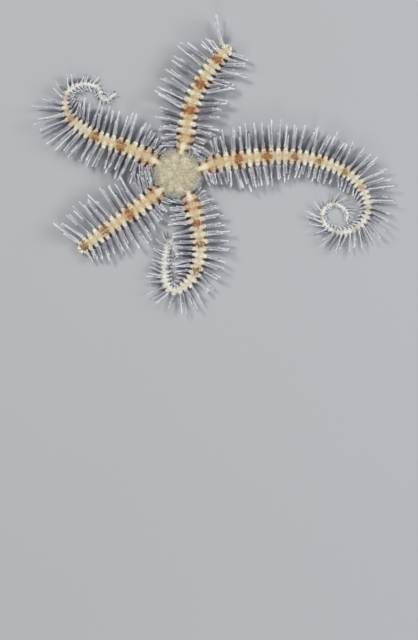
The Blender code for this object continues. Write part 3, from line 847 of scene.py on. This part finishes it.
disc = {
    "radius": 6.3,
    "notch": 1.1,
    "notchSpread": 17.0,
    "ripple": 0.16,
    "top": 4.2,
    "edgeHeight": 2.1,
    "underside": 0.7,
    "fullness": 0.75,
    "cellsRound": 160,
    "cellsUp": 80,
    "pitRadius": 2.2,
    "pitDepth": 1.3,
    "betweenArms": (14.0, 16.0),  # where the bare skin starts, in degrees off an arm
    "sag": 0.25,  # of that skin
    "sagAt": (0.9, 0.12),  # as shares of the radius: where, and how wide
    "folds": 0.05,
    "shieldRise": 0.22,  # of two low plates where each arm starts
    "shieldApart": (1.15, 0.75),  # their distance from the arm's middle line, and spread
    "shieldAhead": (4.2, 1.3),  # and from the disc's middle
    "stripHalf": 0.6,  # of the pale strip along an arm's root
    "stripFrom": 4.3,
    "fleckApart": (1.35, 0.55),
}


def discRadius(bearing):
    wave = 2.0 + np.sin(13.0 * bearing + 0.7) + np.sin(8.0 * bearing + 2.1)
    radius = disc["radius"] - disc["ripple"] * wave / 2.0
    for arm in arms.values():
        turned = bearing - math.radians(arm["start"][1])
        off = np.degrees(np.remainder(turned + math.pi, math.tau) - math.pi)
        radius = radius - disc["notch"] * bell(off, disc["notchSpread"])
    return radius


def nearestArm(x, y):  # how far a point lies along and beside the nearest arm's root
    best = np.full(np.shape(x), 1e9)
    ahead = np.zeros(np.shape(x))
    beside = np.zeros(np.shape(x))
    for arm in arms.values():
        way = compass(math.radians(arm["start"][1]))
        out = x * way[0] + y * way[1]
        off = y * way[0] - x * way[1]
        turned = np.abs(np.arctan2(off, out))
        nearer = turned < best
        best = np.where(nearer, turned, best)
        ahead = np.where(nearer, out, ahead)
        beside = np.where(nearer, off, beside)
    return best, ahead, beside


def domePoint(out, bearing, z):  # from a ball's radius, bearing and height to the dome's
    radius = discRadius(bearing) * out ** disc["fullness"]
    above = blend(disc["edgeHeight"], disc["top"], z)
    below = blend(disc["edgeHeight"], disc["underside"], np.sqrt(np.maximum(0.0, -z)))
    return radius * np.cos(bearing), radius * np.sin(bearing), np.where(z > 0.0, above, below)


def makeDisc(material):
    deselect()
    bpy.ops.mesh.primitive_uv_sphere_add(segments=disc["cellsRound"], ring_count=disc["cellsUp"],
                                         radius=1.0)
    ball = readForm()
    x, y, z = ball["points"].T
    bearing = np.arctan2(y, x)
    x, y, up = domePoint(np.hypot(x, y), bearing, z)
    out = np.hypot(x, y)
    turned, ahead, beside = nearestArm(x, y)
    between = ramp(np.degrees(turned), *disc["betweenArms"])
    edge = out / discRadius(bearing)
    isTop = z > 0.0
    sagAt, spread = disc["sagAt"]
    sag = between * bell(edge - sagAt, spread) * disc["sag"]
    apart, width = disc["shieldApart"]
    outward, length = disc["shieldAhead"]
    shield = bell(np.abs(beside) - apart, width) * bell(ahead - outward, length)
    folds = np.sin(out * 5.0 + beside * 1.2) * between * ramp(edge, 0.72, 0.2) * disc["folds"]
    up = up + np.where(isTop, disc["shieldRise"] * shield - sag + folds, 0.0)
    pit = clamp(1.0 - (out / disc["pitRadius"]) ** 2)
    up = up + np.where(isTop, 0.0, disc["pitDepth"] * pit)
    item = addPiece("disc_skin_dome", np.column_stack([x, y, up]), ball["faces"], material)
    strip = np.exp(-((beside / disc["stripHalf"]) ** 4)) * ramp(ahead, disc["stripFrom"], 0.6)
    veil = np.where(isTop, between * ramp(edge, 0.70, 0.22), 1.0)
    apart, width = disc["fleckApart"]
    fleck = bell(np.abs(beside) - apart, width) * ramp(ahead, disc["stripFrom"], 0.8)
    addMarks(item, strip=strip * isTop, veil=veil, fleck=fleck * isTop, pit=np.where(isTop, 0.0, pit))
    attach(item, "root")
    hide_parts("disc")


def discFinish():
    finish = Finish("discSkin")
    strip, veil, fleck, pit = finish.marks("strip", "veil", "fleck", "pit")
    where = finish.place()
    grain = finish.noise(where, 2400.0, 3.0)
    cloud = finish.noise(where, 420.0, 4.0, 0.6)
    specks = finish.noise(where, 2000.0)
    pebbles = finish.cells(where, 3200.0)
    finish.prime((0.46, 0.40, 0.28), (0.66, 0.60, 0.46), finish.step(cloud, 0.3, 0.7))
    finish.paint((0.78, 0.73, 0.58), finish.step(specks, 0.52, 0.66) * 0.5)
    finish.paint((0.30, 0.24, 0.15), finish.step(1.0 - specks, 0.56, 0.70) * 0.4)
    finish.paint((0.50, 0.51, 0.49), veil * (0.65 + 0.35 * cloud))
    finish.paint((0.84, 0.78, 0.59), finish.step(strip * (0.6 + 0.8 * cloud), 0.2, 0.7) * 0.9)
    finish.paint((0.40, 0.17, 0.05), fleck * finish.step(specks, 0.46, 0.58) * 0.75)
    # painted shade: the mouth pit under the disc is painted near black
    finish.paint((0.03, 0.02, 0.017), finish.step(pit, 0.1, 0.6))
    height = grain * 0.4 + (1.0 - pebbles) * 0.6
    return finish.close({"Roughness": 0.5 + grain * 0.2, "Coat Weight": 0.1, "Coat Roughness": 0.35,
                         "Normal": finish.bump(height, 0.00014, 0.8)})


makeDisc(discFinish())
print("disc is made")


# Granules: short spinelets that cover the disc, and lie outwards in a fringe round its edge

granule = {
    "count": 2600,
    "sides": 5,
    "cuts": (0.45, 0.8),
    "widths": {0.8: 0.85, 1.0: 0.45},
    "radius": (0.05, 0.09),
    "height": (0.2, 0.5),
    "lean": 0.7,
    "outward": (0.3, 1.0),  # how far they lie outwards, on the disc and at its edge
    "fringe": (2.0, 0.65),  # lengths and widths at the edge, next to the others
    "fringeFrom": (0.72, 0.16),  # where it starts and over which length, of the disc's radius
    "fringeGap": (12.0, 8.0),  # the same, in degrees off an arm
    "fringeLoss": 0.5,
    "bareFrom": 4.7,  # none stand on the pale strip along an arm's root
    "bareHalf": 0.62,
    "sunk": 0.1,
    "lowest": -0.25,  # how far down the ball they reach
    "seed": 5,
}


def makeGranules(form, material):
    draw = random.Random(granule["seed"])
    places = []
    patches = []
    fringes = []
    turn = math.pi * (3.0 - math.sqrt(5.0))  # from each to the next, which spreads them evenly
    for i in range(granule["count"]):
        z = 1.0 - (1.0 - granule["lowest"]) * (i + 0.5) / granule["count"]
        z = 1.0 - (1.0 - z) ** 1.2
        bearing = math.remainder(turn * i + draw.uniform(-0.12, 0.12), math.tau)
        out = math.sqrt(max(0.0, 1.0 - z * z))
        here = np.array(domePoint(out, bearing, z))
        turned, ahead, beside = nearestArm(here[0], here[1])
        if ahead > granule["bareFrom"] and abs(beside) < granule["bareHalf"]:
            continue
        edge = math.hypot(here[0], here[1]) / discRadius(bearing)
        fringe = ramp(edge, *granule["fringeFrom"]) * ramp(math.degrees(turned), *granule["fringeGap"])
        if draw.random() < granule["fringeLoss"] * fringe:
            continue
        slope = here - np.array(domePoint(out * 0.98, bearing, min(1.0, z + 0.02)))
        flat = np.array([*compass(bearing), 0.0])
        rise = np.array([-slope[2] * flat[0], -slope[2] * flat[1], math.hypot(slope[0], slope[1])])
        way = rise / np.linalg.norm(rise) + flat * blend(*granule["outward"], fringe)
        way = way + np.array([swing(draw) for _ in range(3)]) * granule["lean"]
        way = way / np.linalg.norm(way)
        longer, wider = granule["fringe"]
        thickness = draw.uniform(*granule["radius"]) * blend(1.0, wider, fringe)
        length = draw.uniform(*granule["height"]) * blend(1.0, longer, fringe) + granule["sunk"]
        root = here - way * granule["sunk"]
        places.append((root, way, draw.uniform(0.0, math.tau), length, thickness))
        patches.append(0.5 + 0.48 * ((1.0 - z) / 2.0) * compass(bearing))
        fringes.append(fringe)
    points, faces = setCopies(form, places)
    item = addPiece("disc_granules", points, faces, material)
    unit = form["points"]
    shade = np.repeat([draw.random() for _ in places], len(unit))
    addMarks(item, shade=shade, tipward=np.tile(unit[:, 0], len(places)),
             fringe=np.repeat(fringes, len(unit)))
    addPatches(item, form, patches)
    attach(item, "root")


def granuleFinish():
    finish = Finish("granules")
    shade, tipward, fringe = finish.marks("shade", "tipward", "fringe")
    where = finish.place()
    grain = finish.noise(where, 5000.0)
    cloud = finish.noise(where, 380.0)
    finish.prime((0.33, 0.28, 0.16), (0.80, 0.73, 0.52), shade)
    finish.paint((0.68, 0.70, 0.64), finish.step(cloud, 0.5, 0.64) * 0.7)
    finish.paint((0.72, 0.58, 0.34), finish.step(1.0 - cloud, 0.52, 0.66) * 0.35)
    finish.paint((0.86, 0.81, 0.63), finish.step(tipward, 0.5, 1.0) * (0.25 + 0.5 * shade))
    finish.paint(finish.mix((0.36, 0.37, 0.36), (0.78, 0.78, 0.75), shade), fringe * 0.85)
    return finish.close({"Roughness": 0.4 + grain * 0.2})


makeGranules(makeRod(granule["sides"], granule["cuts"], granule["widths"]), granuleFinish())
print("granules are set")


# Spines: glassy rods with thorns, in fans on every link

spine = {
    "sides": 6,
    "rings": 11,
    "thorn": 1.34,
    "waist": 0.9,
    "taper": 0.2,
    "tipEnd": 0.55,
    "bead": 1.4,
    "beadEnd": 0.05,
    "neck": 1.15,
    "thornLean": 0.025,  # how far thorns are drawn to the tip
    "levelRise": 20.0,  # the rise of the row that reaches furthest
    "thicknessBase": 0.088,
    "thicknessPerWidth": 0.096,
    "riseScatter": 5.0,
    "lengthScatter": (0.18, 0.42),  # on thick parts and on thin ends
    "bow": 0.025,  # how far a spine bends from straight, of its length
    "thinBow": 0.08,  # and how far it bends to the tip on thin ends
    "thickFrom": 1.6,  # half width of the arm above which its fans are whole
    "thinBelow": 0.7,
    "brushTo": 5.5,  # nearer the disc than this, each row is doubled, with finer spines
    "brushShare": 0.9,
    "brushThickness": 0.75,
    "slantScatter": (0.5, 1.2),  # of single spines next to whole fans, and of those in the brush
    "alongScatter": (0.2, 0.45),  # of the roots in a link, and of those in the brush
    "thinLoss": 0.48,  # share of the spines that thin ends lack
    "leastShare": 0.16,
    "stumpTint": 0.75,  # the spines of a healed end are pale,
    "stumpStretch": 2.5,  # over this length
    "shortest": 0.25,
    "mostExcess": 0.12,  # no spine is longer than planned by more than this share
    "firstRun": -0.4,
    "sunk": 0.12,  # depth of the roots in the skin
    "probes": 18,  # spots along a spine where it is tested for room
    "ownStretch": 5.0,  # nearer parts of its own arm don't count there, unless the arm curls back
    "clearance": 0.1,
    "seed": 23,
}

# rows of a fan: how far out and up they root on a link, rise, share of length, also on thin ends
fan = [
    {"out": 0.85, "up": 0.20, "rise": -2.0, "share": 0.52, "thin": False},
    {"out": 0.96, "up": 0.32, "rise": 8.0, "share": 0.80, "thin": True},
    {"out": 1.0, "up": 0.44, "rise": 20.0, "share": 1.0, "thin": True},
    {"out": 0.97, "up": 0.56, "rise": 32.0, "share": 0.92, "thin": True},
    {"out": 0.89, "up": 0.67, "rise": 45.0, "share": 0.70, "thin": False},
]


def makeSpine():  # one spine along X, 1 long, with a bead at its root and thorns that wind round it
    startRod(spine["sides"])
    step = (1.0 - spine["beadEnd"]) / spine["rings"]
    cuts = [spine["beadEnd"] + i * step for i in range(spine["rings"])]
    bisectAt(cuts)
    for index, cut in enumerate([0.0, *cuts, 1.0]):
        width = {1: spine["bead"], 2: spine["neck"]}.get(index, 1.0 - spine["taper"] * cut)
        if cut == 1.0:
            width = spine["tipEnd"]
        if index % 2 and index > 1:
            width *= spine["waist"]
        squeeze(lambda at: abs(at.x - cut) < 0.001, (1.0, width, width), (cut, 0.0, 0.0))
        if index > 1 and cut < 1.0:
            turn = (index % 3) * math.tau / 3.0 + (index % 2) * math.tau / 6.0
            squeeze(lambda at: abs(at.x - cut) < 0.001
                    and math.cos(math.atan2(at.z, at.y) - turn) > 0.6,
                    (1.0, spine["thorn"], spine["thorn"]), (cut, 0.0, 0.0))
            bpy.ops.transform.translate(value=(spine["thornLean"], 0.0, 0.0))
    return readForm()


def plannedSpine(route, run, side):  # how far spines reach here, their lean and its scatter
    plan = np.array(route["left" if side > 0 else "right"])
    return [np.interp(run, plan[:, 0], plan[:, i]) for i in (1, 2, 3)]


def surveyArms():  # number, run, x, y and half width of every arm's stretches
    rows = []
    for number, route in enumerate(routes.values()):
        for run in np.arange(0.0, route["end"], 0.3):
            x, y, _ = placeAt(route, run)
            rows.append((number, run, x, y, halfWidth(route, run)))
    return np.array(rows)


def freeShare(table, number, run, root, way, length, thickness):
    # the share of a spine that stays clear of the disc and of the other arms' bodies
    apart = np.abs(table[:, 1] - run)
    chord = np.hypot(table[:, 2] - root[0], table[:, 3] - root[1])
    curled = chord < 0.75 * apart - 1.0
    others = table[(table[:, 0] != number) | (apart > spine["ownStretch"]) | curled]
    shares = np.linspace(0.15, 1.0, spine["probes"])
    spots = root + np.outer(shares, way) * length
    gap = np.hypot(spots[:, :1] - others[:, 2], spots[:, 1:2] - others[:, 3]) - others[:, 4]
    high = spots[:, 2:] > armHeight(others[:, 4]) + thickness
    inArm = ((gap < spine["clearance"] + thickness) & ~high).any(axis=1)
    edge = discRadius(np.arctan2(spots[:, 1], spots[:, 0]))
    inDisc = (np.hypot(spots[:, 0], spots[:, 1]) < edge + thickness) & (spots[:, 2] < disc["top"] + 0.3)
    blocked = inArm | inDisc
    return shares[max(0, np.argmax(blocked) - 1)] if blocked.any() else 1.0


def spinePlaces(name, table, draw):
    route = routes[name]
    number = list(arms).index(name)
    marks = route["marks"]
    places = []
    notes = []
    bows = []
    for start, end in zip(marks, marks[1:]):
        middle = (start + end) / 2
        if middle < spine["firstRun"]:
            continue
        width = halfWidth(route, middle)
        height = armHeight(width)
        grown = halfWidth(route, min(middle, route["end"] - body["stumpRounding"]))
        thickness = spine["thicknessBase"] + spine["thicknessPerWidth"] * grown
        thin = clamp((spine["thickFrom"] - width) / (spine["thickFrom"] - spine["thinBelow"]))
        thin = thin * (middle < route["end"] - body["endStretch"] or not route["stump"])
        bend = bendAt(route, middle, 0.3)
        brush = int(middle < spine["brushTo"])
        if brush:
            thickness *= spine["brushThickness"]
        for side in (1, -1):
            reach, lean, spread = plannedSpine(route, middle, side)
            level = math.cos(math.radians(spine["levelRise"])) * math.cos(math.radians(lean))
            fanSlant = swing(draw) * spread
            for turn, plan in enumerate(fan * 2 if brush else fan):
                row = turn % len(fan)
                along = spine["alongScatter"][brush]
                run = middle + (end - start) * draw.uniform(-along, along)
                x, y, heading = placeAt(route, run)
                slant = fanSlant + swing(draw) * spread * spine["slantScatter"][brush]
                rise = plan["rise"] + swing(draw) * spine["riseScatter"]
                scatter = swing(draw) * blend(*spine["lengthScatter"], thin)
                spin = draw.uniform(0.0, math.tau)
                # random tone of the glass, plus painted light that makes rows 2 and 3 of each fan
                # lighter than the rest
                tint = draw.random() * 0.5 + (0.5 if row in (2, 3) else 0.0)
                if route["stump"] and middle > route["end"] - spine["stumpStretch"]:
                    tint = max(tint, spine["stumpTint"])
                bowing = swing(draw) * spine["bow"] + spine["thinBow"] * thin
                if draw.random() < thin * (spine["thinLoss"] if plan["thin"] else 1.0):
                    continue
                out = plan["out"] * lobeReach(route, middle)
                if bend * side > 0.0:
                    out = min(out, body["innerRoom"] * plan["out"] / abs(bend))
                length = max(spine["shortest"], reach - out) / level * plan["share"]
                length *= 1.0 + min(scatter, spine["mostExcess"])
                if turn != row:
                    length *= spine["brushShare"]
                foot = compass(heading + side * quarter) * out
                root = np.array([x + foot[0], y + foot[1], max(plan["up"] * height, thickness + 0.06)])
                least = math.asin(min(1.0, max(-1.0, (thickness * 1.2 - root[2]) / length)))
                rise = max(math.radians(rise), least)
                bearing = heading + side * math.radians(90.0 - lean - slant)
                way = np.array([*compass(bearing) * math.cos(rise), math.sin(rise)])
                share = freeShare(table, number, run, root, way, length, thickness)
                if share < spine["leastShare"]:
                    continue
                length = length * share + spine["sunk"]
                places.append((root - way * spine["sunk"], way, spin, length, thickness))
                notes.append((run, side, row, tint, middle))
                bows.append(np.array([*compass(heading), 0.0]) * bowing * length)
    return places, notes, bows


def makeSpines(name, form, table, material, draw):
    route = routes[name]
    places, notes, bows = spinePlaces(name, table, draw)
    points, faces = setCopies(form, places)
    unit = form["points"]
    points = points + np.concatenate([np.outer(unit[:, 0] ** 2, bow) for bow in bows])
    item = addPiece(name + "_spines", points, faces, material)
    notes = np.array(notes)
    each = len(unit)
    band = bandMarks(route, notes[:, 4])[0]
    addMarks(item, tipward=np.tile(unit[:, 0], len(places)), tint=np.repeat(notes[:, 3], each),
             band=np.repeat(band, each), share=np.repeat(notes[:, 0] / route["whole"], each))
    lengthwise = 0.02 + 0.95 * (notes[:, 0] + 1.0) / (route["end"] + 2.0)
    upward = np.array([plan["up"] for plan in fan])[notes[:, 2].astype(int)]
    around = 0.5 + notes[:, 1] * (0.06 + 0.4 * (1.0 - upward))
    addPatches(item, form, np.column_stack([lengthwise, around]))
    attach(item, "root")
    return len(places)


def spineFinish():
    finish = Finish("spineGlass")
    tipward, tint, band, share = finish.marks("tipward", "tint", "band", "share")
    where = finish.place()
    speckle = finish.noise(where, 4200.0)
    beads = finish.cells(where, 5200.0)
    # glass colour from dark to light by the tone, which holds painted light on rows 2 and 3
    finish.prime((0.28, 0.275, 0.34), (0.94, 0.94, 0.99), tint)
    finish.paint((0.98, 0.98, 1.0), finish.step(speckle, 0.5, 0.62) * (0.15 + 0.45 * tint))
    finish.paint((0.22, 0.21, 0.28), finish.step(1.0 - speckle, 0.55, 0.68) * 0.35)
    rooted = finish.fall(tipward, 0.02, 0.12)
    finish.paint((0.88, 0.84, 0.72), rooted)
    finish.paint((0.70, 0.42, 0.26), band * rooted * 0.5 * (1.0 - share))
    finish.paint((0.97, 0.97, 1.0), finish.step(tipward, 0.88, 1.0) * 0.6)
    height = speckle * 0.5 + (1.0 - beads) * 0.5
    return finish.close({"Roughness": 0.16 + speckle * 0.15, "IOR": 1.5, "Transmission Weight": 0.15,
                         "Normal": finish.bump(height, 0.00006, 0.8)})


def makeAllSpines():
    form = makeSpine()
    material = spineFinish()
    table = surveyArms()
    draw = random.Random(spine["seed"])
    count = sum(makeSpines(name, form, table, material, draw) for name in arms)
    print("spines are set:", count, "of", len(form["faces"]), "faces")


makeAllSpines()


# Mouth: five jaws that point inwards, each with a shield behind it and a tuft of papillae

jaw = {
    "outerRadius": 2.25,
    "tipRadius": 0.62,
    "rootWidth": 0.95,
    "tipWidth": 0.42,
    "waistShare": 0.72,
    "cuts": (0.35, 0.7),  # its waist and its shoulder, from the tip, as shares of its length
    "groove": 0.12,  # along the middle of its underside
    "inset": 0.08,
    "low": 0.08,
    "high": 0.95,
    "shieldRadius": 2.05,
    "shieldLength": 0.62,
    "shieldWidth": 0.5,
    "shieldHeight": 0.34,
    "shieldMiddle": 0.42,
}

papillae = {
    "rows": 4,
    "columns": (-1.0, 0.0, 1.0),
    "behind": 0.18,  # the jaw's tip, where the lowest row stands
    "overhang": 0.05,  # of each row over the one below
    "apart": 0.2,
    "low": 0.14,
    "way": (-0.9, 0.25, -0.35),  # inwards, spread sideways and down
    "lift": 0.1,  # each row points higher than the one below
    "length": 0.3,
    "thickness": 0.09,
}


def jawBearings():  # halfway between neighbouring arms
    bearings = sorted(arm["start"][1] % 360.0 for arm in arms.values())
    after = bearings[1:] + [bearings[0] + 360.0]
    return [math.radians((a + b) / 2) for a, b in zip(bearings, after)]


def makeJaw():  # one jaw along X, from its root to its tip near the axis
    length = jaw["outerRadius"] - jaw["tipRadius"]
    middle = (jaw["outerRadius"] + jaw["tipRadius"]) / 2
    waist, shoulder = (jaw["tipRadius"] + cut * length for cut in jaw["cuts"])
    deselect()
    bpy.ops.mesh.primitive_cube_add(size=1.0, location=(middle, 0.0, (jaw["low"] + jaw["high"]) / 2),
                                    scale=(length, 2 * jaw["rootWidth"], jaw["high"] - jaw["low"]))
    openForm()
    bisectAt((waist, shoulder))
    bpy.ops.mesh.select_all(action="SELECT")
    bpy.ops.mesh.bisect(plane_co=(0.0, 0.0, 0.0), plane_no=(0.0, 1.0, 0.0))
    squeeze(lambda at: at.x < jaw["tipRadius"] + 0.01, (1.0, jaw["tipWidth"] / jaw["rootWidth"], 1.0))
    squeeze(lambda at: abs(at.x - waist) < 0.01, (1.0, jaw["waistShare"], 1.0))
    nudge(lambda at: at.z < jaw["low"] + 0.01 and abs(at.y) < 0.01, (0.0, 0.0, jaw["groove"]))
    choose("FACE", lambda face: abs(face.normal.x) > 0.9)
    bpy.ops.mesh.inset(thickness=jaw["inset"])
    return readForm(2)


def makeShield():  # the rounded plate at a jaw's root
    middle = jaw["shieldMiddle"]
    deselect()
    bpy.ops.mesh.primitive_uv_sphere_add(
        segments=20, ring_count=10, radius=1.0, location=(jaw["shieldRadius"] + 0.5, 0.0, middle),
        scale=(jaw["shieldLength"], jaw["shieldWidth"], jaw["shieldHeight"]))
    openForm()
    squeeze(lambda at: at.x > jaw["shieldRadius"] + 0.8, (1.0, 0.75, 1.0), (0.0, 0.0, middle))
    squeeze(lambda at: at.z < 0.16, (1.0, 1.0, 0.5), (0.0, 0.0, 0.16))
    return readForm()


def makeTuft():  # papillae in rows on a jaw's tip
    deselect()
    bpy.ops.mesh.primitive_cone_add(vertices=8, radius1=1.0, radius2=0.55, depth=1.0,
                                    location=(0.5, 0.0, 0.0), rotation=(0.0, quarter, 0.0))
    openForm()
    bisectAt((0.6, 0.85))
    squeeze(lambda at: at.x > 0.99, (1.0, 0.5, 0.5))
    form = readForm()
    apart = papillae["apart"]
    inward, sideways, down = papillae["way"]
    places = []
    for row in range(papillae["rows"]):
        out = jaw["tipRadius"] + papillae["behind"] - papillae["overhang"] * row
        for column in papillae["columns"]:
            root = (out, column * apart, papillae["low"] + apart * row)
            way = (inward, column * sideways, down + papillae["lift"] * row)
            places.append((root, way, 0.0, papillae["length"], papillae["thickness"]))
    points, faces = setCopies(form, places)
    return {"points": points, "faces": faces}


def makeMouth(forms, material):
    points = []
    faces = []
    count = 0
    for bearing in jawBearings():
        turn = np.array(Matrix.Rotation(bearing, 3, "Z"))
        for form in forms:
            points.append(form["points"] @ turn.T)
            faces += [tuple(corner + count for corner in face) for face in form["faces"]]
            count += len(form["points"])
    item = addPiece("mouth_jaws", np.concatenate(points), faces, material)
    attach(item, "root")
    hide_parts("mouth")


def jawFinish():
    finish = Finish("jawPlates")
    where = finish.place()
    grain = finish.noise(where, 3000.0, 3.0)
    finish.prime((0.66, 0.58, 0.43), (0.88, 0.84, 0.72), finish.noise(where, 700.0, 3.0))
    return finish.close({"Roughness": 0.38 + grain * 0.25, "Normal": finish.bump(grain, 0.00008, 0.6)})


makeMouth((makeJaw(), makeShield(), makeTuft()), jawFinish())
print("mouth is made")
